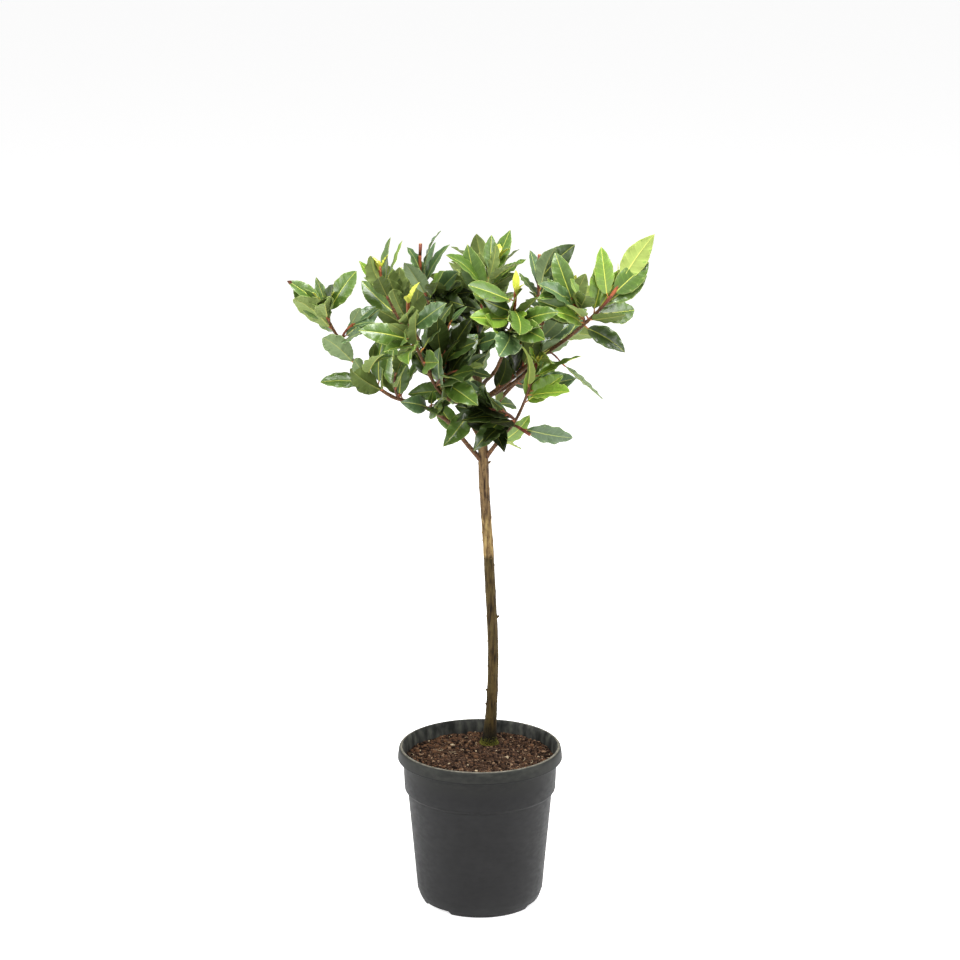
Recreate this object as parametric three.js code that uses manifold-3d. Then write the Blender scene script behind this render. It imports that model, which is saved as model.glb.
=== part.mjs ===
// A standard bay: a young Laurus nobilis on one clear stem, in a round plastic nursery pot.
// Millimetres, +Z up. The origin is the centre of the pot's flat underside. The plant's front is -Y.
import * as THREE from 'three';
import Module from 'manifold-3d';
import { mergeVertices } from 'three/addons/utils/BufferGeometryUtils.js';

const wasm = await Module();
wasm.setup();

const { degToRad } = THREE.MathUtils;

// ---- driving dimensions ----------------------------------------------------------------------

const CLEARANCE = 0.3; // between pieces that touch
const LEAF_CLEARANCE = 0.6; // along a slanting radius, so that the gap across it is about CLEARANCE

const POT = {
  sides: 32,
  wall: 1.6,
  footRadius: 66.6,
  footWidth: 7,
  footHeight: 4.5,
  padRadius: 12,
  heelRadius: 71,
  heelHeight: 9,
  wallFootRadius: 73,
  wallFootHeight: 15,
  stepRadius: 83.6,
  stepHeight: 133,
  collarFootRadius: 87.3,
  collarFootHeight: 137,
  collarRadius: 88.5,
  rimFootHeight: 171,
  rimRadius: 95,
  rimShoulderRadius: 93,
  rimShoulderHeight: 185,
  lipRadius: 91,
  height: 186.5,
  footGaps: 3,
  footGapAngle: 36,
  firstFootGap: -49, // degrees round from the front, + towards +X
  drainHoles: 6,
  drainHoleRadius: 4,
  drainHoleCircle: 44,
  drainHoleSides: 6,
};

const COMPOST = {
  edgeHeight: 171,
  standHeight: 177, // the flat that the trunk is cut to
  standRadius: 12,
  edgeSlack: 0.2,
  lump: 1.2,
  rings: 2,
};

const TRUNK = {
  sides: 12,
  steps: 14,
  flare: 1.9,
  flareHeight: 14,
  footRadius: 6.4,
  forkRadius: 5.7,
  forkHeight: 535,
  tipRadius: 3,
  // height, and how far the stem stands to the right of and behind the pot's axis there
  stations: [
    [177.3, 10.6, 36],
    [235, 14.2, 34],
    [300, 15, 31],
    [365, 12, 28],
    [425, 9, 24],
    [485, 5, 20],
    [530, 3.6, 17],
    [600, -1, 13],
    [667, -4, 12],
  ],
};

const LIMB = { sides: 6, steps: 7, collar: 0.35, collarLength: 9 };

// Each bough leaves the trunk at a height and ends inside one mass of leaves. Over its length arch bows
// it up, wave lifts its first half and drops its second, out bows it outward and sway to its left.
const BOUGHS = [
  { name: 'left_long', into: 'left_tip', from: 510, to: [-165, -32, 688],
    base: 2.7, tip: 1.8, arch: -4, wave: 19, out: 0, sway: 4 },
  { name: 'left_front', into: 'left_front', from: 572, to: [-69, -62, 668],
    base: 2.5, tip: 1.7, arch: -20, wave: 8, out: 0, sway: 5 },
  { name: 'left_upper', into: 'left_upper', from: 590, to: [-104, -7, 716],
    base: 2.4, tip: 1.6, arch: -22, wave: 3, out: 0, sway: 3 },
  { name: 'left_top', into: 'left_top', from: 611, to: [-63, 34, 716],
    base: 2.4, tip: 1.6, arch: -20, wave: 6, out: 0, sway: -5 },
  { name: 'front', into: 'front_top', from: 600, to: [31, -60, 680],
    base: 2.5, tip: 1.7, arch: -12, wave: 5, out: 0, sway: -3 },
  { name: 'right_top', into: 'right_top', from: 592, to: [66, 20, 706],
    base: 2.6, tip: 1.6, arch: -15, wave: 0, out: 26, sway: -5 },
  { name: 'right_long', into: 'right_tip', from: 579, to: [128, -37, 702],
    base: 3.1, tip: 2.1, arch: 5, wave: 4, out: 0, sway: 6 },
  { name: 'right_low', into: 'right_low', from: 514, to: [48, -29, 597],
    base: 2.6, tip: 1.8, arch: 3, wave: 4, out: 0, sway: 4 },
  { name: 'back_left', into: 'back_left', from: 566, to: [-84, 92, 668],
    base: 2.7, tip: 1.7, arch: -5, wave: 6, out: 0, sway: -6 },
  { name: 'back', into: 'back_top', from: 603, to: [8, 118, 690],
    base: 2.6, tip: 1.7, arch: -8, wave: 0, out: 10, sway: 7 },
  { name: 'back_right', into: 'back_right', from: 553, to: [88, 92, 660],
    base: 2.8, tip: 1.7, arch: -4, wave: 8, out: 0, sway: 5 },
  { name: 'back_low', into: 'back_low', from: 541, to: [-22, 88, 592],
    base: 2.4, tip: 1.6, arch: -2, wave: 0, out: 0, sway: 4 },
];

// Each mass of leaves is an uneven lump with its half sizes across, through and up, drawn out to the
// tips of its furthest leaves. Its detail is how finely the lump is faceted.
const FOLIAGE = [
  { name: 'left_tip', at: [-172, -36, 712], half: [24, 24, 24], detail: 3,
    tips: [[-212, -30, 736], [-135, -35, 748], [-204, -52, 720], [-181, -8, 736], [-159, -60, 738],
      [-168, -90, 722], [-186, 6, 714]] },
  { name: 'left_mid', at: [-142, -32, 676], half: [24, 26, 20], detail: 1,
    tips: [[-110, -20, 703], [-141, -2, 688], [-138, -56, 654], [-172, -52, 677], [-128, -74, 688]] },
  { name: 'left_lower', at: [-118, -28, 634], half: [30, 28, 20], detail: 2,
    tips: [[-143, -50, 642], [-177, -30, 622], [-104, -68, 662], [-110, 22, 640]] },
  { name: 'left_inner', at: [-88, -22, 636], half: [22, 26, 26], detail: 1,
    tips: [[-104, -12, 674], [-76, -56, 668], [-64, 12, 640], [-96, 26, 652]] },
  { name: 'left_low', at: [-52, -14, 582], half: [28, 24, 18], detail: 1,
    tips: [[-88, -45, 603], [-81, 6, 600], [-41, -44, 552], [-41, -62, 601], [-48, 32, 586]] },
  { name: 'left_front', at: [-74, -86, 690], half: [28, 28, 34], detail: 2,
    tips: [[-36, -100, 725], [-77, -126, 720], [-88, -76, 724], [-132, -80, 691], [-104, -104, 672],
      [-76, -130, 664], [-44, -120, 664]] },
  { name: 'left_upper', at: [-106, -8, 738], half: [22, 22, 27], detail: 2,
    tips: [[-85, -15, 779], [-99, 14, 777], [-134, 0, 753], [-120, -28, 764], [-111, -48, 743],
      [-132, 24, 726]] },
  { name: 'left_top', at: [-62, 32, 738], half: [22, 24, 26], detail: 2,
    tips: [[-43, 40, 780], [-33, 26, 767], [-82, 36, 762], [-84, 6, 750], [-40, -6, 743],
      [-74, 76, 738], [-50, 68, 762]] },
  { name: 'heart_left', at: [-58, -40, 636], half: [24, 24, 24], detail: 2,
    tips: [[-83, -56, 650], [-44, -62, 668], [-30, -74, 630], [-74, -8, 652]] },
  { name: 'heart_front', at: [-34, -34, 680], half: [24, 22, 26], detail: 2,
    tips: [[-46, -66, 702], [-14, -62, 664], [-8, -50, 690], [-30, -40, 712]] },
  { name: 'heart', at: [-34, 4, 702], half: [26, 26, 28], detail: 2,
    tips: [[-24, 8, 739], [-46, -24, 733], [-22, -34, 731], [-62, -12, 700], [-10, 44, 700]] },
  { name: 'core', at: [-10, 4, 650], half: [26, 24, 24], detail: 2,
    tips: [[-38, -14, 676], [18, -22, 668], [-30, 38, 662], [20, 36, 660]] },
  { name: 'core_right', at: [42, 2, 646], half: [22, 24, 24], detail: 1,
    tips: [[62, -34, 676], [28, -32, 650], [70, 24, 668], [34, 34, 640]] },
  { name: 'top', at: [14, 16, 740], half: [28, 28, 22], detail: 2,
    tips: [[-14, 20, 768], [-38, -10, 761], [18, 6, 772], [13, 34, 776], [34, 38, 781],
      [45, -24, 754], [52, 14, 752], [20, 68, 752], [-12, 60, 748]] },
  { name: 'front_top', at: [34, -82, 708], half: [28, 28, 26], detail: 3,
    tips: [[-13, -108, 746], [-11, -116, 713], [-8, -84, 733], [62, -100, 732], [86, -86, 712],
      [26, -88, 740], [46, -96, 740], [42, -148, 700], [20, -136, 674], [70, -124, 690]] },
  { name: 'front_low', at: [-12, -58, 636], half: [22, 26, 22], detail: 1,
    tips: [[6, -74, 652], [-20, -108, 640], [-40, -92, 618], [-2, -92, 610]] },
  { name: 'right_top', at: [70, 20, 730], half: [22, 24, 24], detail: 2,
    tips: [[109, 10, 799], [81, 26, 757], [56, 48, 756], [98, 48, 742], [44, 62, 728]] },
  { name: 'right_inner', at: [88, -50, 708], half: [26, 26, 24], detail: 2,
    tips: [[82, -32, 768], [98, -60, 744], [62, -70, 740], [60, -56, 711], [113, -96, 732],
      [108, -56, 690]] },
  { name: 'right_mid', at: [84, 12, 686], half: [26, 28, 22], detail: 1,
    tips: [[106, 38, 676], [98, -16, 666], [56, 44, 690], [112, 20, 702]] },
  { name: 'right_tip', at: [146, -38, 712], half: [24, 26, 24], detail: 2,
    tips: [[132, -42, 776], [191, -30, 788], [184, -18, 740], [158, -74, 707], [159, -54, 661],
      [150, 12, 722], [172, 8, 696]] },
  { name: 'right_low', at: [78, -36, 628], half: [32, 28, 22], detail: 2,
    tips: [[45, -52, 668], [91, -64, 634], [113, -34, 653], [137, -10, 598], [98, -78, 622],
      [64, 10, 642]] },
  { name: 'low_right', at: [56, -14, 562], half: [28, 24, 16], detail: 1,
    tips: [[104, -10, 554], [72, -36, 560], [44, -52, 552], [56, 16, 574]] },
  { name: 'low', at: [6, -34, 584], half: [20, 22, 26], detail: 2,
    tips: [[3, -64, 632], [27, -42, 545], [-7, -44, 547], [-26, -50, 582]] },
  { name: 'back_left', at: [-92, 100, 690], half: [38, 36, 34], detail: 2,
    tips: [[-134, 118, 712], [-110, 152, 690], [-68, 144, 722], [-110, 84, 736], [-130, 82, 658],
      [-70, 124, 650]] },
  { name: 'back_top', at: [6, 120, 708], half: [38, 36, 36], detail: 2,
    tips: [[10, 176, 716], [-34, 150, 742], [46, 148, 740], [-4, 112, 764], [36, 158, 676],
      [-38, 130, 690], [10, 78, 744]] },
  { name: 'back_right', at: [94, 98, 678], half: [38, 36, 34], detail: 2,
    tips: [[138, 116, 704], [110, 152, 676], [72, 142, 704], [120, 78, 724], [134, 80, 650],
      [80, 122, 640]] },
  { name: 'back_inner', at: [-6, 68, 700], half: [42, 22, 34], detail: 2,
    tips: [[-58, 66, 724], [42, 62, 728], [-14, 66, 754], [-50, 78, 676], [40, 86, 700]] },
  { name: 'back_low', at: [-28, 98, 612], half: [38, 32, 24], detail: 2,
    tips: [[-78, 108, 622], [-38, 148, 606], [12, 128, 596], [-20, 88, 572], [-62, 68, 590]] },
  { name: 'back_low_right', at: [50, 64, 604], half: [28, 28, 22], detail: 1,
    tips: [[96, 76, 590], [60, 110, 606], [40, 72, 572], [22, 40, 622]] },
];

// ---- materials -------------------------------------------------------------------------------

const finish = (color, roughness) => new THREE.MeshStandardMaterial({ color, roughness, metalness: 0 });
const POT_PLASTIC = finish(0x3c3d3b, 0.5);
const MOIST_COMPOST = finish(0x38241a, 0.95);
const TRUNK_BARK = finish(0x8a7450, 0.8);
const YOUNG_BARK = finish(0x6a3f2c, 0.65);
const BAY_LEAF = finish(0x4f6a3a, 0.45);

// ---- solids ----------------------------------------------------------------------------------

// The closed solid inside a geometry: shared points merged, flat faces dropped, faces turned outward.
function solid(geometry) {
  const bare = geometry.clone();
  bare.deleteAttribute('normal');
  bare.deleteAttribute('uv');
  const merged = mergeVertices(bare, 1e-4);
  const point = merged.getAttribute('position');
  const corner = [new THREE.Vector3(), new THREE.Vector3(), new THREE.Vector3()];
  const faces = [];
  let volume = 0;
  for (let i = 0; i < merged.index.count; i += 3) {
    const face = [0, 1, 2].map((k) => merged.index.getX(i + k));
    if (new Set(face).size < 3) continue;
    corner.forEach((c, k) => c.fromBufferAttribute(point, face[k]));
    volume += corner[0].dot(corner[1].clone().cross(corner[2]));
    faces.push(face);
  }
  const triVerts = new Uint32Array(faces.flatMap((f) => (volume > 0 ? f : [f[0], f[2], f[1]])));
  const vertProperties = new Float32Array(point.array);
  return new wasm.Manifold(new wasm.Mesh({ numProp: 3, vertProperties, triVerts }));
}

// The largest separate piece of a solid, so that a cut leaves no loose slivers.
function mainPiece(cut) {
  return cut.decompose().reduce((best, piece) => (piece.volume() > best.volume() ? piece : best));
}

function node(name, shape, material) {
  const { vertProperties, triVerts } = shape.getMesh();
  const geometry = new THREE.BufferGeometry();
  geometry.setAttribute('position', new THREE.BufferAttribute(vertProperties, 3));
  geometry.setIndex(new THREE.BufferAttribute(triVerts, 1));
  geometry.computeVertexNormals();
  const mesh = new THREE.Mesh(geometry, material);
  mesh.name = name;
  return mesh;
}

function turned(outline, sides) {
  const profile = outline.map(([radius, height]) => new THREE.Vector2(radius, height));
  return new THREE.LatheGeometry(profile, sides).rotateX(Math.PI / 2);
}

// Direction in plan: degrees round from the front, + towards +X.
function fromFront(degrees) {
  const angle = degToRad(degrees);
  return new THREE.Vector2(Math.sin(angle), -Math.cos(angle));
}

// ---- pot -------------------------------------------------------------------------------------

const potFloorTop = POT.footHeight + POT.wall;

function potSolid() {
  const footInner = POT.footRadius - POT.footWidth;
  const outside = [
    [0, 0],
    [POT.padRadius, 0],
    [POT.padRadius, POT.footHeight],
    [footInner, POT.footHeight],
    [footInner, 0],
    [POT.footRadius, 0],
    [POT.heelRadius, POT.heelHeight],
    [POT.wallFootRadius, POT.wallFootHeight],
    [POT.stepRadius, POT.stepHeight],
    [POT.collarFootRadius, POT.collarFootHeight],
    [POT.collarRadius, POT.rimFootHeight],
    [POT.rimRadius, POT.rimFootHeight + 1],
    [POT.rimShoulderRadius, POT.rimShoulderHeight],
    [POT.lipRadius, POT.height],
  ];
  const inside = [
    [POT.lipRadius - 2, POT.height - 0.5],
    [POT.collarRadius - POT.wall, POT.rimFootHeight],
    [POT.collarFootRadius - POT.wall, POT.collarFootHeight],
    [POT.stepRadius - POT.wall, POT.stepHeight],
    [POT.wallFootRadius - POT.wall, POT.wallFootHeight],
    [POT.heelRadius - POT.wall - 1, potFloorTop],
    [0, potFloorTop],
  ];
  let pot = solid(turned([...outside, ...inside], POT.sides));
  for (let i = 0; i < POT.footGaps; i += 1) {
    pot = pot.subtract(footGap(POT.firstFootGap + (360 / POT.footGaps) * i));
  }
  for (let i = 0; i < POT.drainHoles; i += 1) {
    pot = pot.subtract(drainHole((360 / POT.drainHoles) * i));
  }
  return pot;
}

// A gap in the ring foot, where water runs out: a block of a ring, open below and to the side.
function footGap(degrees) {
  const half = degToRad(POT.footGapAngle) / 2;
  const middle = degToRad(degrees - 90);
  const inner = POT.footRadius - POT.footWidth - 1;
  const outer = POT.heelRadius + 2;
  const sector = new THREE.Shape();
  sector.absarc(0, 0, outer, middle - half, middle + half, false);
  sector.absarc(0, 0, inner, middle + half, middle - half, true);
  const options = { depth: POT.footHeight + 1, bevelEnabled: false, curveSegments: 4 };
  return solid(new THREE.ExtrudeGeometry(sector, options).translate(0, 0, -1));
}

function drainHole(degrees) {
  const place = fromFront(degrees).multiplyScalar(POT.drainHoleCircle);
  const radius = POT.drainHoleRadius;
  const drill = new THREE.CylinderGeometry(radius, radius, POT.wall * 3, POT.drainHoleSides);
  return solid(drill.rotateX(Math.PI / 2).translate(place.x, place.y, potFloorTop - POT.wall / 2));
}

// ---- compost ---------------------------------------------------------------------------------

// Fills the pot. Its rings draw in from the pot's wall to a small flat round the trunk's foot.
function compostSolid() {
  const skin = POT.wall + CLEARANCE;
  const edgeRadius = POT.collarRadius - skin - COMPOST.edgeSlack;
  const profile = [
    [0, potFloorTop + CLEARANCE],
    [POT.heelRadius - skin - 1.2, potFloorTop + CLEARANCE],
    [POT.wallFootRadius - skin, POT.wallFootHeight],
    [POT.stepRadius - skin, POT.stepHeight + 0.2],
    [POT.collarFootRadius - skin - 0.2, POT.collarFootHeight + 0.2],
    [edgeRadius, COMPOST.edgeHeight],
  ];
  for (let ring = 1; ring <= COMPOST.rings; ring += 1) {
    const inward = ring / COMPOST.rings;
    profile.push([THREE.MathUtils.lerp(edgeRadius, COMPOST.standRadius, inward), COMPOST.edgeHeight + 1]);
  }
  profile.push([0, COMPOST.edgeHeight + 1]);
  const body = turned(profile, POT.sides);
  const point = body.getAttribute('position');
  const [, footX, footY] = TRUNK.stations[0];
  for (let i = 0; i < point.count; i += 1) {
    if (point.getZ(i) < COMPOST.edgeHeight + 0.5) continue;
    const radius = Math.hypot(point.getX(i), point.getY(i));
    const angle = Math.atan2(point.getY(i), point.getX(i));
    const span = edgeRadius - COMPOST.standRadius;
    const inward = THREE.MathUtils.clamp((edgeRadius - radius) / span, 0, 1);
    const mound = (COMPOST.standHeight - COMPOST.edgeHeight) * inward ** 2;
    const lumps = COMPOST.lump * Math.sin(3 * angle + 7 * inward) * Math.sin(Math.PI * inward);
    const x = point.getX(i) + footX * inward;
    const y = point.getY(i) + footY * inward;
    point.setXYZ(i, x, y, COMPOST.edgeHeight + mound + lumps);
  }
  return solid(body);
}

// ---- limbs -----------------------------------------------------------------------------------

// A tapering round limb along a curve: a cylinder of unit radius, bent along it and sized ring by ring.
function limb(curve, steps, sides, radiusAt, grow) {
  const shape = new THREE.CylinderGeometry(1, 1, 1, sides, steps);
  const point = shape.getAttribute('position');
  const frames = curve.computeFrenetFrames(steps);
  for (let i = 0; i < point.count; i += 1) {
    const t = point.getY(i) + 0.5;
    const ring = Math.round(t * steps);
    const radius = radiusAt(t) + grow;
    const place = curve.getPointAt(t);
    place.addScaledVector(frames.tangents[ring], (t - 0.5) * 2 * grow);
    place.addScaledVector(frames.normals[ring], point.getX(i) * radius);
    place.addScaledVector(frames.binormals[ring], -point.getZ(i) * radius);
    point.setXYZ(i, place.x, place.y, place.z);
  }
  return shape;
}

const trunkLine = new THREE.CatmullRomCurve3(
  TRUNK.stations.map(([height, right, back]) => new THREE.Vector3(right, back, height)),
);
const trunkFoot = trunkLine.getPointAt(0).z;

// How far along the trunk, from 0 to 1, a height is.
function alongTrunk(height) {
  let low = 0;
  let high = 1;
  for (let i = 0; i < 24; i += 1) {
    const middle = (low + high) / 2;
    if (trunkLine.getPointAt(middle).z < height) low = middle;
    else high = middle;
  }
  return low;
}

function trunkRadius(t) {
  const height = trunkLine.getPointAt(t).z;
  const flare = TRUNK.flare * Math.exp((trunkFoot - height) / TRUNK.flareHeight);
  if (height <= TRUNK.forkHeight) {
    const rise = (height - trunkFoot) / (TRUNK.forkHeight - trunkFoot);
    return flare + THREE.MathUtils.lerp(TRUNK.footRadius, TRUNK.forkRadius, rise);
  }
  const above = (height - TRUNK.forkHeight) / (trunkLine.getPointAt(1).z - TRUNK.forkHeight);
  return THREE.MathUtils.lerp(TRUNK.forkRadius, TRUNK.tipRadius, above);
}

// The trunk, cut flat and level at its foot.
function trunkSolid(grow = 0) {
  const shape = limb(trunkLine, TRUNK.steps, TRUNK.sides, trunkRadius, grow);
  const point = shape.getAttribute('position');
  const footRing = trunkFoot + (trunkLine.getPointAt(1 / TRUNK.steps).z - trunkFoot) / 2;
  for (let i = 0; i < point.count; i += 1) {
    if (point.getZ(i) < footRing) point.setZ(i, trunkFoot - grow);
  }
  return solid(shape);
}

class BoughLine extends THREE.Curve {
  constructor({ from, to, arch, wave, out, sway }) {
    super();
    this.start = trunkLine.getPointAt(alongTrunk(from));
    this.span = new THREE.Vector3(...to).sub(this.start);
    this.outward = new THREE.Vector3(this.span.x, this.span.y, 0).normalize();
    this.side = new THREE.Vector3(-this.outward.y, this.outward.x, 0);
    this.shape = { arch, wave, out, sway };
  }

  getPoint(t) {
    const { arch, wave, out, sway } = this.shape;
    const place = this.start.clone().addScaledVector(this.span, t);
    place.addScaledVector(this.outward, out * Math.sin(Math.PI * t));
    place.addScaledVector(this.side, sway * Math.sin(Math.PI * t));
    place.z += arch * Math.sin(Math.PI * t) + wave * Math.sin(2 * Math.PI * t);
    return place;
  }
}

function boughSolid(bough, grow = 0) {
  const line = new BoughLine(bough);
  const length = line.getLength();
  const radiusAt = (t) => {
    const collar = LIMB.collar * bough.base * Math.exp((-t * length) / LIMB.collarLength);
    return THREE.MathUtils.lerp(bough.base, bough.tip, t) + collar;
  };
  return solid(limb(line, LIMB.steps, LIMB.sides, radiusAt, grow));
}

// ---- foliage ---------------------------------------------------------------------------------

const LUMP = { depth: 0.07, tipSpread: 0.7 }; // share of the radius, and radians

// How far a lump's surface is from its middle in one direction, before its tips are drawn out.
function lumpRadius(mass, way) {
  const [across, through, up] = mass.half;
  const smooth = 1 / Math.hypot(way.x / across, way.y / through, way.z / up);
  const [phase] = mass.at;
  const waves = [5 * way.x + phase, 6 * way.y - phase, 5 * way.z + 2 * phase];
  const unevenness = waves.reduce((sum, wave) => sum + Math.sin(wave), 0);
  return smooth * (1 + LUMP.depth * unevenness);
}

// An uneven ball whose surface rises to each leaf tip: the nearest corner is moved right to the tip.
function massSolid(mass, grow = 0) {
  const middle = new THREE.Vector3(...mass.at);
  const tips = mass.tips.map((tip) => {
    const arm = new THREE.Vector3(...tip).sub(middle);
    return { reach: arm.length(), way: arm.clone().normalize(), arm };
  });
  const ball = new THREE.IcosahedronGeometry(1, mass.detail);
  ball.deleteAttribute('normal');
  ball.deleteAttribute('uv');
  const shape = mergeVertices(ball, 1e-4);
  const point = shape.getAttribute('position');
  const ways = [];
  for (let i = 0; i < point.count; i += 1) {
    ways.push(new THREE.Vector3().fromBufferAttribute(point, i).normalize());
  }
  const places = ways.map((way) => {
    let radius = lumpRadius(mass, way);
    for (const tip of tips) {
      const off = way.angleTo(tip.way) / LUMP.tipSpread;
      radius = Math.max(radius, tip.reach * (1 - off));
    }
    return way.clone().multiplyScalar(radius);
  });
  for (const tip of tips) {
    const nearness = ways.map((way) => way.dot(tip.way));
    places[nearness.indexOf(Math.max(...nearness))].copy(tip.arm);
  }
  places.forEach((place, i) => {
    place.setLength(place.length() + grow).add(middle);
    point.setXYZ(i, place.x, place.y, place.z);
  });
  return solid(shape);
}

// ---- the plant -------------------------------------------------------------------------------

const group = new THREE.Group();
group.add(node('pot', potSolid(), POT_PLASTIC));
group.add(node('compost', compostSolid(), MOIST_COMPOST));
group.add(node('trunk', trunkSolid(), TRUNK_BARK));

const roundTrunk = trunkSolid(CLEARANCE);
const roundBoughs = BOUGHS.map((bough) => boughSolid(bough, CLEARANCE));
const roundMasses = FOLIAGE.map((mass) => massSolid(mass, LEAF_CLEARANCE));

BOUGHS.forEach((bough, i) => {
  let cut = boughSolid(bough).subtract(roundTrunk);
  roundBoughs.slice(0, i).forEach((earlier) => {
    cut = cut.subtract(earlier);
  });
  cut = cut.subtract(roundMasses[FOLIAGE.findIndex((mass) => mass.name === bough.into)]);
  group.add(node(`bough_${bough.name}`, mainPiece(cut), YOUNG_BARK));
});

FOLIAGE.forEach((mass, i) => {
  let cut = massSolid(mass).subtract(roundTrunk);
  roundMasses.slice(0, i).forEach((earlier) => {
    cut = cut.subtract(earlier);
  });
  BOUGHS.forEach((bough, k) => {
    if (bough.into !== mass.name) cut = cut.subtract(roundBoughs[k]);
  });
  group.add(node(`foliage_${mass.name}`, mainPiece(cut), BAY_LEAF));
});

export default group;
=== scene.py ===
"""A potted standard bay: its bark, shoots, leaves, pot and compost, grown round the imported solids."""

import math
import random

import bmesh
import bpy
import numpy as np
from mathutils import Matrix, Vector, noise
from mathutils.bvhtree import BVHTree
from numpy.linalg import norm


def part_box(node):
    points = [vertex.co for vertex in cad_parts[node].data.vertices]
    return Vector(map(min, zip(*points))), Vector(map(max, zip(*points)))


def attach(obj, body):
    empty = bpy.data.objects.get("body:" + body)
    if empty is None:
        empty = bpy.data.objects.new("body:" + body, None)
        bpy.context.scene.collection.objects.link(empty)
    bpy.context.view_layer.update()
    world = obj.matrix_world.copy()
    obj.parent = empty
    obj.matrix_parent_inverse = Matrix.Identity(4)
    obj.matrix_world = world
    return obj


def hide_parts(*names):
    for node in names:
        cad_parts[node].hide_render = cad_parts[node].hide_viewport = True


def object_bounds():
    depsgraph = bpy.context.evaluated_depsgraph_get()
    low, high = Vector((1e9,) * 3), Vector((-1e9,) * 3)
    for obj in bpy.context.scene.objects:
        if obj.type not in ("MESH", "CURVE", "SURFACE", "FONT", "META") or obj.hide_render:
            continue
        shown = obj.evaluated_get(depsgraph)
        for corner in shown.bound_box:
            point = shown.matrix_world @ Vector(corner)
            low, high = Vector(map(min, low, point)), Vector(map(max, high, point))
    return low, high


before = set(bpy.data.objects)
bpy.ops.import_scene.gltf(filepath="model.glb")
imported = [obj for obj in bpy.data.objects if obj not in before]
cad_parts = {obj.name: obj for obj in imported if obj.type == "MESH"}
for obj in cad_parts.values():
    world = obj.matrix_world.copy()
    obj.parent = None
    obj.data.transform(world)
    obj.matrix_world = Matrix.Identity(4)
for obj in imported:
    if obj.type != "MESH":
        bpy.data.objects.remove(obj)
cad_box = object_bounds()
scene = bpy.context.scene

MM = 0.001  # shapes are worked out in millimetres and built in metres
TAU = 2 * math.pi
UP = np.array([0.0, 0.0, 1.0])
GOLDEN = math.radians(137.5)  # the turn from one leaf to the next round a shoot


# ---- small geometry


def unit(v):
    return v / max(norm(v), 1e-9)


def square_to(v, along):
    """The part of v that is square to along, one long."""
    return unit(v - along * np.dot(v, along))


def turned(v, axis, angle):
    """v turned round a unit axis."""
    along = axis * np.dot(axis, v)
    return v * math.cos(angle) + np.cross(axis, v) * math.sin(angle) + along * (1 - math.cos(angle))


def smooth_line(points, step):
    """Points about step apart on a smooth curve through the given ones."""
    pts = np.vstack([2 * points[0] - points[1], points, 2 * points[-1] - points[-2]])
    line = []
    for a, b, c, d in zip(pts, pts[1:], pts[2:], pts[3:]):
        count = max(1, round(norm(c - b) / step))
        for t in np.arange(count) / count:
            square = (2 * a - 5 * b + 4 * c - d) * t**2
            cube = (3 * b - a - 3 * c + d) * t**3
            line.append(0.5 * (2 * b + (c - a) * t + square + cube))
    return np.array(line + [points[-1]])


def bend(start, heading, end, step=2.0):
    """A shoot's line: it leaves along heading and curves to its end."""
    span = norm(end - start)
    middle = start + heading * span * 0.5
    t = np.linspace(0, 1, max(3, round(span / step)))[:, None]
    return start * (1 - t) ** 2 + middle * 2 * t * (1 - t) + end * t**2


def lengths_along(line):
    """How far along a line each of its points is."""
    return np.append(0, norm(np.diff(line, axis=0), axis=1).cumsum())


def tangents(line):
    way = np.gradient(line, axis=0)
    return way / norm(way, axis=1)[:, None]


def rough(place, scale, seed):
    """Smooth noise from about -1 to 1 at a place in mm, with features about scale mm across."""
    return noise.noise(Vector(place / scale) + Vector((seed * 7.31, seed * 3.17, seed * 1.93)))


class Piece:
    """Shapes joined into one mesh, each face with its own material."""

    def __init__(self, name, slot, materials):
        self.name = name
        self.slot = slot
        self.materials = materials
        self.points = []
        self.faces = []
        self.kinds = []
        self.count = 0

    def add(self, points, faces, kind):
        """Adds points in mm and the faces that number them, of one material or a list with each face's."""
        names = list(self.materials)
        kinds = [kind] * len(faces) if isinstance(kind, str) else kind
        self.points.append(np.asarray(points, float))
        self.faces.extend([[i + self.count for i in face] for face in faces])
        self.kinds.extend([names.index(k) for k in kinds])
        self.count += len(points)

    def build(self, replaces=()):
        mesh = bpy.data.meshes.new(self.name)
        mesh.from_pydata((np.vstack(self.points) * MM).tolist(), [], self.faces)
        for made in self.materials.values():
            mesh.materials.append(made)
        mesh.polygons.foreach_set("material_index", self.kinds)
        mesh.polygons.foreach_set("use_smooth", [True] * len(self.faces))
        mesh.update()
        shown = bpy.data.objects.new(self.name, mesh)
        scene.collection.objects.link(shown)
        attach(shown, "root")
        if replaces:
            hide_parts(*replaces)
        return shown


def angles(sides):
    return [TAU * k / sides for k in range(sides)]


def rings_joined(rings, sides):
    """The faces between rings of points, each looking away from a line that the rings run up."""
    faces = []
    for start in range(0, (rings - 1) * sides, sides):
        for k in range(sides):
            a, b = start + k, start + (k + 1) % sides
            faces.append([a, b, b + sides, a + sides])
    return faces


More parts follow.
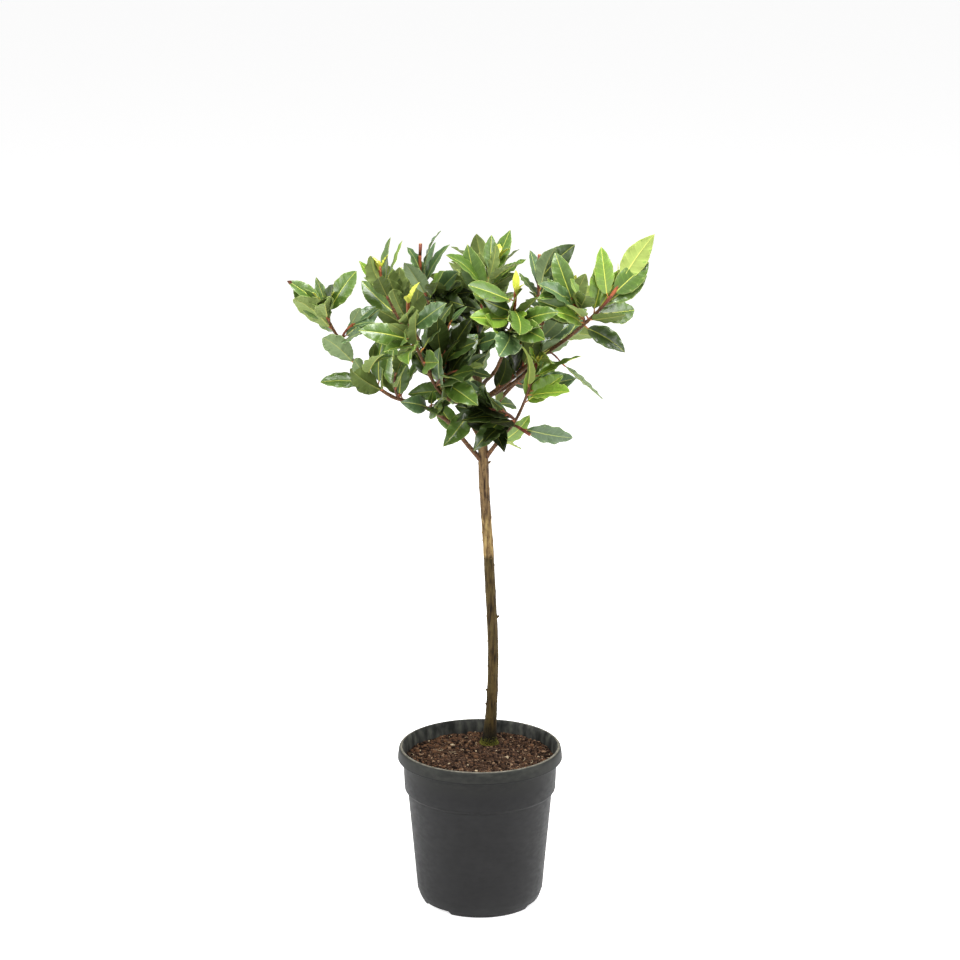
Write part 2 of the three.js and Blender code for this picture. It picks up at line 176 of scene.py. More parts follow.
def tube(line, radii, sides, relief=None):
    """A closed round limb: rings of points along a line, with relief(place, turn, along) on each radius."""
    way = tangents(line)
    side = square_to(np.array([1.0, 0.2, 0.1]), way[0])
    points = []
    along = 0.0
    for i, (middle, forward, radius) in enumerate(zip(line, way, radii)):
        side = square_to(side, forward)
        other = np.cross(forward, side)
        along += norm(middle - line[max(i - 1, 0)])
        for turn in angles(sides):
            out = side * math.cos(turn) + other * math.sin(turn)
            extra = relief(middle + out * radius, turn, along) if relief else 0.0
            points.append(middle + out * (radius + extra))
    faces = rings_joined(len(line), sides)
    points += [line[0], line[-1]]
    first, last, end = len(points) - 2, len(points) - 1, (len(line) - 1) * sides
    faces += [[first, (k + 1) % sides, k] for k in range(sides)]
    faces += [[last, end + k, end + (k + 1) % sides] for k in range(sides)]
    return points, faces


# ---- materials


def linear(colour):
    """An sRGB colour such as 0x55742f as the shader's linear numbers."""
    parts = [(colour >> shift & 255) / 255 for shift in (16, 8, 0)]
    return tuple(p / 12.92 if p < 0.04045 else ((p + 0.055) / 1.055) ** 2.4 for p in parts) + (1.0,)


class Surface:
    """A Principled material being put together from nodes."""

    def __init__(self, name, colour, roughness, shine):
        self.made = bpy.data.materials.new(name)
        self.made.use_nodes = True
        self.tree = self.made.node_tree
        self.shader = self.tree.nodes["Principled BSDF"]
        self.shader.inputs["Base Color"].default_value = linear(colour)
        self.shader.inputs["Roughness"].default_value = roughness
        self.shader.inputs["Specular IOR Level"].default_value = shine
        self.place = self.node("ShaderNodeTexCoord").outputs["Object"]

    def node(self, kind, **values):
        """A new node, with these values in its sockets."""
        made = self.tree.nodes.new(kind)
        for socket, value in values.items():
            made.inputs[socket.replace("_", " ")].default_value = value
        return made

    def link(self, source, target):
        self.tree.links.new(source, target)

    def stretched(self, scale):
        mapping = self.node("ShaderNodeMapping", Scale=scale)
        self.link(self.place, mapping.inputs["Vector"])
        return mapping.outputs["Vector"]

    def clouds(self, size_mm, detail=4.0, stretch=(1, 1, 1)):
        """Noise with features about size_mm across, longer where stretch is under 1."""
        made = self.node("ShaderNodeTexNoise", Scale=1 / (size_mm * MM), Detail=detail)
        self.link(self.stretched(stretch), made.inputs["Vector"])
        return made.outputs["Fac"]

    def ramp(self, source, *stops):
        """Colours (or grey numbers) set against a 0 to 1 value."""
        made = self.node("ShaderNodeValToRGB")
        points = made.color_ramp.elements
        while len(points) < len(stops):
            points.new(0.5)
        for point, (where, colour) in zip(points, stops):
            point.position = where
            point.color = linear(colour) if isinstance(colour, int) else (colour, colour, colour, 1.0)
        self.link(source, made.inputs["Fac"])
        return made.outputs["Color"]

    def mixed(self, share, first, second):
        """One colour, plain or from nodes, where share is 0 and another where it is 1."""
        made = self.node("ShaderNodeMix")
        made.data_type = "RGBA"
        self.link(share, made.inputs["Factor"])
        for socket, colour in ((made.inputs["A"], first), (made.inputs["B"], second)):
            if isinstance(colour, int):
                socket.default_value = linear(colour)
            else:
                self.link(colour, socket)
        return made.outputs["Result"]

    def height(self, low_mm, high_mm):
        """0 below one height above the floor, 1 above another."""
        split = self.node("ShaderNodeSeparateXYZ")
        self.link(self.place, split.inputs["Vector"])
        band = self.node("ShaderNodeMapRange", From_Min=low_mm * MM, From_Max=high_mm * MM)
        self.link(split.outputs["Z"], band.inputs["Value"])
        return band.outputs["Result"]

    def drive(self, socket, source):
        """Lets nodes give one of the shader's values."""
        self.link(source, self.shader.inputs[socket])

    def bump(self, source, depth_mm, strength=1.0):
        made = self.node("ShaderNodeBump", Distance=depth_mm * MM, Strength=strength)
        self.link(source, made.inputs["Height"])
        self.drive("Normal", made.outputs["Normal"])


def leaf_surface(name, colour, roughness, shine):
    """A leaf's skin: one plain colour, with the fine cells of its surface as a bump."""
    skin = Surface(name, colour, roughness, shine)
    skin.bump(skin.clouds(1.3, 3.0), 0.14, 0.7)
    return skin.made


# Each tint of leaf, part by part. The dark tint, dealt to the masses in the head's shaded middle, is
# painted shade for the inside of the head as well as the darker tone of older leaves.
LEAF_PARTS = ("top", "outer", "vein", "rib", "edge", "under", "net", "keel")
LEAF_TINTS = {
    "dark": (0x161E08, 0x1A230A, 0x1F290E, 0x5A6024, 0x3A4620, 0x303C18, 0x35421C, 0x5C612A),
    "deep": (0x2B3D14, 0x304316, 0x354819, 0x8A9038, 0x62703A, 0x566530, 0x5C6B36, 0x878B44),
    "mid": (0x466020, 0x4C6723, 0x516C27, 0xACB24A, 0x87954E, 0x76864A, 0x7D8D50, 0xA8AC5A),
    "teal": (0x425A34, 0x486139, 0x4D673E, 0xA2AC5C, 0x869868, 0x74865C, 0x7B8E62, 0xA5AB68),
    "fresh": (0x64822A, 0x6B8A2D, 0x719031, 0xC4C650, 0xA0AD54, 0x8A9A4E, 0x92A254, 0xBCBE60),
    "lime": (0x94A834, 0x9BAE38, 0x9FB23D, 0xD2D250, 0xB7BC54, 0xA2AE4A, 0xA8B550, 0xCACA58),
    "young": (0xB0B938, 0xB8BE3E, 0xBCC244, 0xD6D258, 0xC6C452, 0xAFB246, 0xB6BA4A, 0xD2CE58),
}
LEAF_ROUGHNESS = (0.34, 0.36, 0.38, 0.44, 0.5, 0.62, 0.62, 0.55)
LEAF_SHINE = (0.55, 0.55, 0.55, 0.4, 0.3, 0.18, 0.18, 0.2)
DARK_SHINE = 0.25  # how much of that the leaves inside the head have


def leaf_materials():
    made = {}
    for tint, colours in LEAF_TINTS.items():
        share = DARK_SHINE if tint == "dark" else 1.0
        for part, colour, roughness, shine in zip(LEAF_PARTS, colours, LEAF_ROUGHNESS, LEAF_SHINE):
            name = f"leaf_{tint}_{part}"
            made[name] = leaf_surface(name, colour, roughness, shine * share)
    made["leaf_scorched"] = leaf_surface("leaf_scorched", 0x4A2A18, 0.7, 0.2)
    return made


TWIG_TINTS = {
    "twig_brown": 0x5A3A26,
    "twig_red": 0x6C3726,
    "twig_orange": 0x935030,
    "stalk": 0x9C6A38,
    "stalk_green": 0x8C9440,
    "bud": 0xA9A63C,
    "cut_wood": 0xB98A5E,
}


def twig_materials():
    made = {}
    for name, colour in TWIG_TINTS.items():
        skin = Surface(name, colour, 0.5, 0.3)
        skin.bump(skin.clouds(0.9, 4.0, (1, 1, 0.4)), 0.15, 0.8)
        made[name] = skin.made
    return made


def trunk_material():
    """Tan bark above, older and olive-brown below, black by the compost, with streaks and dark flecks."""
    bark = Surface("trunk_bark", 0x7A6444, 0.72, 0.15)
    streaks = bark.clouds(2.6, 6.0, (1, 1, 0.14))
    flecks = bark.clouds(1.5, 5.0, (1, 1, 0.45))
    patches = bark.clouds(11, 4.0, (1, 1, 0.4))
    pale = ((0.32, 0x3A2B1B), (0.45, 0x6E5838), (0.56, 0x8A7448), (0.7, 0x9A8656), (0.8, 0x5E4A30))
    brown = bark.ramp(streaks, (0.34, 0x2E2116), (0.48, 0x55422C), (0.62, 0x77603F), (0.76, 0x4A3826))
    tan = bark.mixed(bark.height(448, 462), bark.ramp(streaks, *pale), brown)
    olive = bark.ramp(streaks, (0.32, 0x150F08), (0.46, 0x33260F), (0.6, 0x4B3C1E), (0.76, 0x2C2210))
    old = bark.mixed(bark.ramp(patches, (0.46, 0.0), (0.66, 0.6)), olive, 0x4F4424)
    body = bark.mixed(bark.height(404, 409), old, tan)
    black = bark.ramp(bark.clouds(3, 3.0), (0.35, 0x060504), (0.65, 0x1C180C))
    body = bark.mixed(bark.height(186, 208), black, body)
    body = bark.mixed(bark.ramp(flecks, (0.3, 0.75), (0.42, 0.0)), body, 0x1A130B)
    bark.drive("Base Color", body)
    bark.drive("Roughness", bark.ramp(streaks, (0.3, 0.85), (0.7, 0.58)))
    bark.bump(bark.clouds(0.8, 5.0, (1, 1, 0.35)), 0.25)
    return bark.made


def bough_material():
    bark = Surface("bough_bark", 0x5A3724, 0.58, 0.2)
    streaks = bark.clouds(1.6, 5.0)
    browns = ((0.3, 0x2A1A10), (0.46, 0x4A3220), (0.6, 0x6B4A2C), (0.76, 0x7A5C3A))
    bark.drive("Base Color", bark.ramp(streaks, *browns))
    bark.drive("Roughness", bark.ramp(streaks, (0.3, 0.7), (0.7, 0.48)))
    bark.bump(bark.clouds(0.7, 4.0), 0.2)
    return bark.made


PAINTED_SHADE_BANDS = ((131.6, 136.6), (171.8, 173.2))  # from and to which heights painted shade darkens the pot under its step and rim, mm


def pot_material():
    """Charcoal polypropylene, smooth and matt: dusty towards the rim, with painted shade under rim and step
    and a painted highlight along the lip.
    """
    plastic = Surface("pot_plastic", 0x0F0F10, 0.56, 0.2)
    scuffs = plastic.clouds(9, 6.0, (1, 1, 2.0))
    body = plastic.ramp(plastic.clouds(40, 5.0), (0.3, 0x0C0C0D), (0.7, 0x121213))
    dusty = plastic.ramp(scuffs, (0.35, 0x171816), (0.7, 0x282925))
    colour = plastic.mixed(plastic.height(150, 182), body, dusty)
    # Painted shade: near-black bands under the step and under the rim, where shadow falls.
    for low, high in PAINTED_SHADE_BANDS:
        under = plastic.mixed(plastic.height(low - 0.8, low), colour, 0x040404)
        colour = plastic.mixed(plastic.height(high, high + 0.8), under, colour)
    # Painted highlight: a pale band round the top of the lip.
    painted_lip_highlight = plastic.ramp(plastic.clouds(5, 5.0), (0.3, 0x45443C), (0.7, 0x787468))
    colour = plastic.mixed(plastic.height(185.6, 186.3), colour, painted_lip_highlight)
    plastic.drive("Base Color", colour)
    plastic.drive("Roughness", plastic.ramp(scuffs, (0.3, 0.5), (0.7, 0.62)))
    plastic.bump(plastic.clouds(1.3, 5.0), 0.05, 0.5)
    return plastic.made


def pot_inside_material():
    """The wall above the compost, greyed by dust and dried splashes."""
    plastic = Surface("pot_inside", 0x3A3B38, 0.7, 0.15)
    dust = plastic.clouds(7, 7.0, (1, 1, 0.4))
    plastic.drive("Base Color", plastic.ramp(dust, (0.35, 0x1C1D1B), (0.52, 0x333431), (0.7, 0x4C4D46)))
    plastic.bump(plastic.clouds(0.9, 5.0), 0.1, 0.6)
    return plastic.made


def compost_material():
    soil = Surface("compost_bed", 0x2A1A12, 0.95, 0.1)
    grains = soil.clouds(2.2, 7.0)
    colour = soil.ramp(grains, (0.38, 0x090604), (0.47, 0x281A12), (0.58, 0x47352A), (0.72, 0x6E5848))
    soil.drive("Base Color", colour)
    soil.bump(grains, 1.6)
    return soil.made


def plain_rough(name, colour, roughness=0.92):
    """A dull skin of one plain colour, with a grain."""
    skin = Surface(name, colour, roughness, 0.1)
    skin.bump(skin.clouds(1.0, 4.0), 0.3)
    return skin.made


# ---- what the solids say


def solid(node):
    """A node's corners in mm, each once, and its triangles."""
    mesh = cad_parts[node].data
    numbers = {}
    index = [numbers.setdefault(tuple(round(c / MM, 2) for c in v.co), len(numbers)) for v in mesh.vertices]
    mesh.calc_loop_triangles()
    return np.array(list(numbers)), [[index[i] for i in t.vertices] for t in mesh.loop_triangles]


RING_GAP = 6.5  # rings of a limb's corners are further apart than this, mm


def limb_rings(node):
    """The middle and radius of each ring of corners along a limb's solid, from its low end."""
    points, _ = solid(node)
    centre = points.mean(axis=0)
    axis = np.linalg.svd(points - centre)[2][0]
    axis = axis if axis[2] > 0 else -axis
    along = (points - centre) @ axis
    order = np.argsort(along)
    cuts = np.flatnonzero(np.diff(along[order]) > RING_GAP) + 1
    rings = [points[group] for group in np.split(order, cuts)]
    middles = np.array([ring.mean(axis=0) for ring in rings])
    radii = np.array([norm(ring - ring.mean(axis=0), axis=1).mean() for ring in rings])
    return middles, radii


TIP_STANDS_OUT = 7  # a leaf tip is this much further from the middle than the corners round it, mm


def leaf_tips(points, triangles, middle):
    """The corners that a mass is drawn out to, where its furthest leaves end."""
    near = [set() for _ in points]
    for a, b, c in triangles:
        near[a] |= {b, c}
        near[b] |= {a, c}
        near[c] |= {a, b}
    reach = norm(points - middle, axis=1)
    tips = []
    for i, ring in enumerate(near):
        around = sorted(reach[j] for j in ring)
        if reach[i] - np.mean(around) > TIP_STANDS_OUT and (len(around) < 2 or reach[i] > around[-2]):
            tips.append(points[i])
    return sorted(tips, key=lambda p: -norm(p - middle))


class Limb:
    """A trunk or bough as a smooth line with a radius all along it."""

    def __init__(self, node, parent=None):
        middles, radii = limb_rings(node)
        if parent is not None:
            # The first ring is cut away round the trunk: the next ones lead back to its axis.
            middles, radii = middles[1:], radii[1:]
            along = lengths_along(middles)
            slope, start = np.polyfit(along[1:-1], radii[1:-1], 1)
            back = unit(middles[0] - middles[1])
            steps = [middles[0] + back * distance for distance in range(60)]
            gaps = [norm(parent.line - step, axis=1) for step in steps]
            root = parent.line[np.argmin(np.min(gaps, axis=0))]
            along = np.append(0, along + norm(middles[0] - root))
            middles = np.vstack([root, middles])
            radii = start + slope * along
        self.node = node
        self.line = smooth_line(middles, 3.0)
        self.radii = np.interp(lengths_along(self.line), lengths_along(middles), radii)
        self.ways = tangents(self.line)


class Mass:
    """A mass of leaves: where its solid is, and the tips that it reaches."""

    def __init__(self, node):
        self.node = node
        self.name = node.removeprefix("foliage_")
        self.points, self.triangles = solid(node)
        a, b, c = (self.points[np.array(self.triangles)[:, k]] for k in range(3))
        volumes = np.einsum("ij,ij->i", a, np.cross(b, c)) / 6
        self.volume = abs(volumes.sum())
        self.middle = ((a + b + c) / 4 * volumes[:, None]).sum(axis=0) / volumes.sum()
        self.tips = leaf_tips(self.points, self.triangles, self.middle)
        self.tree = BVHTree.FromPolygons([Vector(p) for p in self.points], self.triangles)

    def distance(self, place):
        """How far outside the solid a place is, in mm, under 0 inside."""
        far = self.tree.find_nearest(Vector(place))[3]
        aim = Vector((0.21, 0.13, 0.97))
        inside = False
        hit = self.tree.ray_cast(Vector(place), aim)[0]
        while hit is not None:
            inside = not inside
            hit = self.tree.ray_cast(hit + aim * 0.01, aim)[0]
        return -far if inside else far


# ---- leaves

VEINS = 8
BLADE_COLUMNS = (0.0, 0.0, 0.3, 0.64, 0.945, 1.0)  # from the rib's middle and its edge to the margin


def blade_rows():
    """Where a blade's rows are, 0 at its base to 1 at its tip, and whether a vein lies along each."""
    rows = [0.0, 0.03]
    is_vein = [False]
    for vein in range(VEINS):
        at = 0.075 + 0.8 * vein / (VEINS - 1)
        rows += [at - 0.007, at + 0.007, at + 0.057]
        is_vein += [False, True, False]
    return np.array(rows + [0.972, 1.0]), is_vein + [False, False]


BLADE_ROWS, ROW_IS_VEIN = blade_rows()


class BladeGrid:
    """The net of points that every leaf shares. Its rows slant forward along the side veins."""

    def __init__(self):
        half = len(BLADE_COLUMNS)
        sides = [-1] * (half - 1) + [0] + [1] * (half - 1)
        share = list(BLADE_COLUMNS[:0:-1]) + [0.0] + list(BLADE_COLUMNS[1:])
        rows, columns = len(BLADE_ROWS), len(share)
        self.shape = (rows, columns)
        self.side = np.tile(sides, (rows, 1))
        self.share = np.tile(share, (rows, 1))
        self.middle = np.tile([k == half - 1 for k in range(columns)], (rows, 1))
        self.rib_edge = np.tile([k in (half - 2, half) for k in range(columns)], (rows, 1))
        row = np.tile(BLADE_ROWS[:, None], (1, columns))
        self.along = row + 0.13 * self.share**1.2 * np.sin(math.pi * row)
        self.swell = self.quilting()
        self.lay_faces(half - 1)

    def quilting(self):
        """How much the blade is sunk along its veins (-1) and swells between them (1)."""
        rows, columns = self.shape
        swell = np.zeros(rows)
        for i in np.flatnonzero(ROW_IS_VEIN):
            swell[i : i + 2] = -1.0
        swell[4::3][:VEINS] = 1.0
        return np.tile(swell[:, None], (1, columns)) * np.sin(math.pi * np.minimum(self.share * 1.02, 1))

    def lay_faces(self, rib):
        """The upper and lower faces, joined at the margin, with the part and the row each is in."""
        rows, columns = self.shape
        top = np.arange(rows * columns).reshape(rows, columns)
        under = top + rows * columns
        under[0], under[-1] = top[0], top[-1]
        under[:, 0], under[:, -1] = top[:, 0], top[:, -1]
        self.used = np.unique(np.concatenate([top.ravel(), under.ravel()]))
        renumber = {int(old): new for new, old in enumerate(self.used)}
        self.faces, self.parts, self.face_row = [], [], []
        for i in range(rows - 1):
            for k in range(columns - 1):
                upper, lower = self.parts_at(i, k, rib)
                for net, part, order in ((top, upper, 1), (under, lower, -1)):
                    corners = [net[i, k], net[i, k + 1], net[i + 1, k + 1], net[i + 1, k]][::order]
                    self.faces.append([renumber[int(c)] for c in corners])
                    self.parts.append(part)
                    self.face_row.append(i)

    def parts_at(self, i, k, rib):
        """Which parts of a leaf the upper and the lower face in a row and column belong to."""
        last = self.shape[1] - 2
        if k in (0, last):
            return "edge", "edge"
        if k in (rib - 1, rib):
            return "rib", "keel"
        if ROW_IS_VEIN[i]:
            return "vein", "net"
        return "outer" if k in (1, last - 1) else "top", "under"


GRID = BladeGrid()


class LeafShape:
    """One leaf's own form, dealt by its seed."""

    def __init__(self, rng, length, young):
        self.length = length
        self.width = length * rng.uniform(0.41, 0.53) * (0.85 if young else 1.0)
        self.base_fullness = rng.uniform(0.66, 0.92)
        self.tip_fullness = rng.uniform(0.78, 1.05)
        self.fold = math.radians(rng.uniform(6, 26))
        self.curl = math.radians(rng.uniform(-6, 46))
        self.lean = math.radians(rng.uniform(-16, 16))
        self.twist = math.radians(rng.uniform(-24, 24))
        self.wave = rng.uniform(0.5, 1.8) * length / 60
        self.wave_count = rng.uniform(3.2, 5.2)
        self.phase = rng.uniform(0, 6.28)


def section(shape):
    """How far each of a leaf's points is across it, and how far out its upper and lower faces are there."""
    g = GRID
    s = g.along
    a, b = shape.base_fullness, shape.tip_fullness
    peak = a / (a + b)
    outline = (s / peak) ** a * ((1 - np.minimum(s, 1)) / (1 - peak)) ** b
    teeth = 1 + 0.028 * np.sin(TAU * 13 * s + shape.phase)
    rib = 0.62 * (1 - 0.72 * s) * min(1.0, shape.length / 45)
    half = np.maximum(shape.width / 2 * outline * teeth, rib * 1.08)
    x = g.side * np.where(g.middle, 0, rib + (half - rib) * g.share)
    thin = 0.17 * (1 - 0.3 * g.share)
    lift = np.abs(x) * math.tan(shape.fold) - 0.012 * x**2
    waves = TAU * shape.wave_count * s + shape.phase + g.side * 1.3
    ripple = shape.wave * g.share**2 * np.sin(waves)
    ripple *= np.sin(math.pi * np.clip(s, 0, 1)) ** 0.5
    quilt = 0.26 * g.swell * np.minimum(half / 8, 1)
    top = lift + ripple + quilt + thin - np.where(g.middle, 0.12, 0)
    keel = np.where(g.middle, 0.55 * (1 - 0.7 * s), 0)
    under = lift + ripple + quilt - thin - keel + np.where(g.rib_edge, 0.02, 0)
    margin = np.zeros(g.shape, bool)
    margin[0], margin[-1], margin[:, 0], margin[:, -1] = True, True, True, True
    return x, np.where(margin, lift + ripple, top), under


def blade(shape):
    """A leaf's points in its own axes, and the way from its base to its tip: its upper face looks up z."""
    x, top, under = section(shape)
    steps = np.linspace(0, 1, 41)
    pitch = shape.curl * (0.35 - steps**1.3)
    yaw = shape.lean * (steps - 0.5)
    way = np.stack([np.sin(yaw) * np.cos(pitch), np.cos(yaw) * np.cos(pitch), np.sin(pitch)], axis=1)
    gone = np.cumsum((way[1:] + way[:-1]) / 2 * (steps[1] - steps[0]), axis=0)
    spine = np.vstack([np.zeros(3), gone])
    chord = spine[-1]
    spine = spine * shape.length / norm(chord)
    s = GRID.along.ravel()

    def on_spine(values):
        return np.stack([np.interp(s, steps, values[:, k]) for k in range(3)], axis=1)

    forward = on_spine(way)
    forward /= norm(forward, axis=1)[:, None]
    level = np.cross(forward, UP)
    level /= norm(level, axis=1)[:, None]
    square = np.cross(level, forward)
    roll = (shape.twist * (s - 0.3))[:, None]
    across = level * np.cos(roll) + square * np.sin(roll)
    out = square * np.cos(roll) - level * np.sin(roll)
    centre = on_spine(spine)
    layers = [centre + across * x.ravel()[:, None] + out * z.ravel()[:, None] for z in (top, under)]
    return np.vstack(layers)[GRID.used], unit(chord)


def placed_blade(shape, base, tip, facing):
    """A leaf's points with its base and tip where they should be and its upper face towards facing."""
    points, chord = blade(shape)
    along = unit(tip - base)
    out = square_to(facing, along)
    own_out = square_to(UP, chord)
    own = np.stack([np.cross(chord, own_out), chord, own_out])
    world = np.stack([np.cross(along, out), along, out])
    return base + points @ own.T @ world


# ---- growing

# How each leading shoot ends, in a bud with young leaves or pruned, and where: in mm to the right of,
# behind and above its mass's middle. Any other ends in grown leaves a little above the middle.
SHOOT_ENDS = {
    "left_tip": ("bud", (2, 4, -9)),
    "left_upper": ("bud", (-4, 0, 4)),
    "left_front": ("bud", (-3, 2, 32)),
    "left_top": ("cut", (-6, 2, 12)),
    "back_left": ("bud", (-6, 10, 16)),
    "back_top": ("bud", (4, 8, 22)),
    "back_right": ("bud", (8, 8, 16)),
    "top": ("bud", (4, 2, 6)),
    "front_top": ("bud", (5, 3, 24)),
    "right_top": ("cut", (-6, -1, 10)),
    "right_tip": ("bud", (0, 0, 11)),
    "right_low": ("bud", (-19, 8, 14)),
    "low_right": ("cut", (-12, 0, 4)),
}
USUAL_END = ("leafy", (0, 0, 10))
LOWEST_SHOOT = 528  # heights above the floor, mm
HIGH_MASS = 660
SCORCHED_ROWS = 6
LEAF_LENGTH = 60  # stalk and blade, mm
MOST_REACH = 82  # where a tip is further than this from any limb, a twig goes part of the way
LEAF_ROOM = 5400  # cubic mm of a mass for each leaf
INNER_LEAF_ROOM = 3800
INNER_SLACK = 9  # how much further out of its mass a shaded leaf may reach, mm
BEST_SIDE = 45  # leaves face away from a line this far behind the middle, so most face the front
OUTER_SPRAYS = ("mid", "deep", "mid", "teal", "fresh")
OUTER_STRAYS = ("deep", "mid", "teal", "mid", "fresh")
INNER_STRAYS = ("dark", "deep", "deep", "teal")
HIGH_TWIGS = ("twig_brown", "twig_red", "twig_orange")
LOW_TWIGS = ("twig_brown", "twig_brown", "twig_red")


def is_inner(mass):
    """Whether a mass is in the head's shaded middle."""
    across, deep, high = mass.middle
    return math.hypot(across, deep - 12) < 58 and deep < 50 and high < 712


def round_shoot(way, turn):
    """The direction square to a shoot, this far round it."""
    return turned(square_to(np.array([1.0, 0.3, 0.2]), way), way, turn)


class Grower:
    """Grows shoots on from the limbs into the masses and hangs their leaves."""

    def __init__(self, trunk, boughs, masses):
        places = [pair for limb in [trunk] + boughs for pair in zip(limb.line, limb.ways)]
        self.nodes = [pair for pair in places if pair[0][2] > LOWEST_SHOOT]
        # Each bough is carried on by the shoot of the mass that it ends nearest to.
        self.carried_on = {}
        for bough in boughs:
            nearest = min(masses, key=lambda mass: mass.distance(bough.line[-1]))
            self.carried_on[nearest.name] = bough
        self.twigs = Piece("twigs", "bough_bark", TWIG_MATERIALS)
        self.taken = [(np.zeros(3), 1.0)]
        self.leaves = 0

    def shoot_of(self, mass):
        """A mass's shoot, from its bough's end or the nearest limb: its line, first radius and style."""
        style, lead = SHOOT_ENDS.get(mass.name, USUAL_END)
        head = mass.middle + np.array(lead)
        if mass.name in self.carried_on:
            bough = self.carried_on[mass.name]
            return bend(bough.line[-1], bough.ways[-1], head), bough.radii[-1], style
        costs = []
        for place, _ in self.nodes:
            gap = head - place
            costs.append(norm(gap) + math.hypot(gap[0], gap[1]) + max(0, 18 - gap[2]) * 1.5)
        place, way = self.nodes[int(np.argmin(costs))]
        return bend(place, unit(unit(head - place) + way * 0.8), head), 1.5, style

    def shoot(self, line, start_radius, end_radius, kinds):
        """A twig with slight joints, its colour changing along it from the first kind to the last."""
        radii = np.linspace(start_radius, end_radius, len(line))
        seed = self.leaves
        sides = 8

        def relief(place, turn, along):
            joint = 0.16 * start_radius * max(0, math.cos(TAU * along / 11)) ** 8
            return joint + 0.08 * start_radius * rough(place, 2.0, seed)

        points, faces = tube(line, radii, sides, relief)
        rows = [min(i // sides, len(line) - 2) for i in range(len(faces))]
        self.twigs.add(points, faces, [kinds[row * len(kinds) // (len(line) - 1)] for row in rows])

    def stalk(self, start, heading, end, kind):
        line = bend(start, heading, end, 1.2)
        self.twigs.add(*tube(line, np.linspace(1.1, 0.75, len(line)), 6), kind)

    def leaf(self, piece, base, stem_way, tip, rng, tint, roll=None):
        """A leaf on its stalk, from a place on a shoot to where its tip ends."""
        along = unit(tip - base)
        length = norm(tip - base)
        foot = base + along * min(8.0, 0.12 * length)
        facing = square_to(stem_way + UP * 0.4, along)
        if roll is None:
            # A leaf turns its upper face out to the light, away from the stem.
            outward = np.array([foot[0], foot[1] - BEST_SIDE, 0.0])
            turns = 1 if np.dot(np.cross(along, facing), outward) > 0 else -1
            roll = turns * rng.uniform(0.2, 1.1) + rng.uniform(-0.6, 0.6) * abs(along[2])
        facing = turned(facing, along, roll)
        shape = LeafShape(rng, norm(tip - foot), tint == "young")
        kinds = [f"leaf_{tint}_{part}" for part in GRID.parts]
        if tip[0] < cad_box[0][0] / MM + 4:  # the leaf furthest to the left has a brown tip
            rows = len(BLADE_ROWS) - SCORCHED_ROWS
            kinds = ["leaf_scorched" if i > rows else kind for kind, i in zip(kinds, GRID.face_row)]
        piece.add(placed_blade(shape, foot, tip, facing), GRID.faces, kinds)
        stalk_kind = "stalk_green" if tint == "young" else rng.choice(["stalk", "twig_orange"])
        self.stalk(base, unit(stem_way * 0.8 + along), foot + along * 0.6, stalk_kind)
        for t in (0.3, 0.5, 0.7, 0.9):
            self.taken.append((foot + (tip - foot) * t, shape.width * (0.3 if t < 0.9 else 0.15)))
        self.leaves += 1

    def is_free(self, foot, tip, width, squeeze):
        """Whether a leaf would stand clear of the leaves already there."""
        places = np.array([place for place, _ in self.taken])
        sizes = np.array([size for _, size in self.taken])
        for t in (0.35, 0.6, 0.85):
            gaps = norm(places - (foot + (tip - foot) * t), axis=1)
            if (gaps < (sizes + width * 0.28) * squeeze).any():
                return False
        return True

    def grow(self, mass):
        rng = random.Random("bay " + mass.name)
        piece = Piece("leaves_" + mass.name, "bay_leaf", LEAF_MATERIALS)
        line, radius, style = self.shoot_of(mass)
        kinds = HIGH_TWIGS if mass.middle[2] > HIGH_MASS else LOW_TWIGS
        self.shoot(line, radius, 1.2 if style == "leafy" else 1.9, kinds)
        own = list(zip(line, tangents(line)))
        near = [pair for pair in self.nodes if norm(pair[0] - mass.middle) < 55]
        # The masses in the head's middle get the dark tint: painted shade, with the darker tone of older
        # leaves.
        spray = "dark" if is_inner(mass) else rng.choice(OUTER_SPRAYS)
        self.tip_leaves(piece, mass, own, near, rng, spray)
        self.fill(piece, mass, own, near, rng, spray)
        if style == "cut":
            self.cut_end(*own[-1])
        elif style == "bud":
            self.bud(piece, *own[-1], rng)
        else:
            self.top_leaves(piece, mass, *own[-1], rng, spray)
        piece.build(replaces=[mass.node])

    def tip_leaves(self, piece, mass, own, near, rng, spray):
        """A leaf out to each of the mass's tips. Some at a high shoot's end are young and lime green."""
        used = []
        for tip in mass.tips:
            node, way = self.best_node(own, near, tip, used)
            used.append(node)
            if norm(tip - node) > MOST_REACH:
                aim = unit(tip - node)
                twig = bend(node, unit(aim + way * 0.3), tip - aim * (LEAF_LENGTH + 4))
                self.shoot(twig, 1.2, 0.9, ["twig_red"])
                node, way = twig[-1], tangents(twig)[-1]
            late = norm(node - own[-1][0]) < 9 and mass.middle[2] > HIGH_MASS
            tint = "lime" if late and rng.random() < 0.3 else self.tint(spray, rng)
            self.leaf(piece, node, way, tip, rng, tint)

    def tint(self, spray, rng):
        """A leaf has its spray's tint or, as often, another that goes with it."""
        if rng.random() < 0.5:
            return spray
        return rng.choice(INNER_STRAYS if spray == "dark" else OUTER_STRAYS)

    def best_node(self, own, near, tip, used):
        """The place on the mass's shoot or a limb by it that a leaf with this tip grows from."""
        best = None
        for k, (place, way) in enumerate(own + near):
            reach = norm(tip - place)
            angle = math.acos(np.clip(np.dot(unit(tip - place), way), -1, 1))
            crowding = sum(1 for other in used if norm(other - place) < 3.5)
            cost = ((reach - LEAF_LENGTH) / 11) ** 2 + ((angle - 0.8) / 0.5) ** 2 + crowding * 1.5
            cost += 0 if k < len(own) else 0.8
            if best is None or cost < best[0]:
                best = (cost, place, way)
        return best[1], best[2]

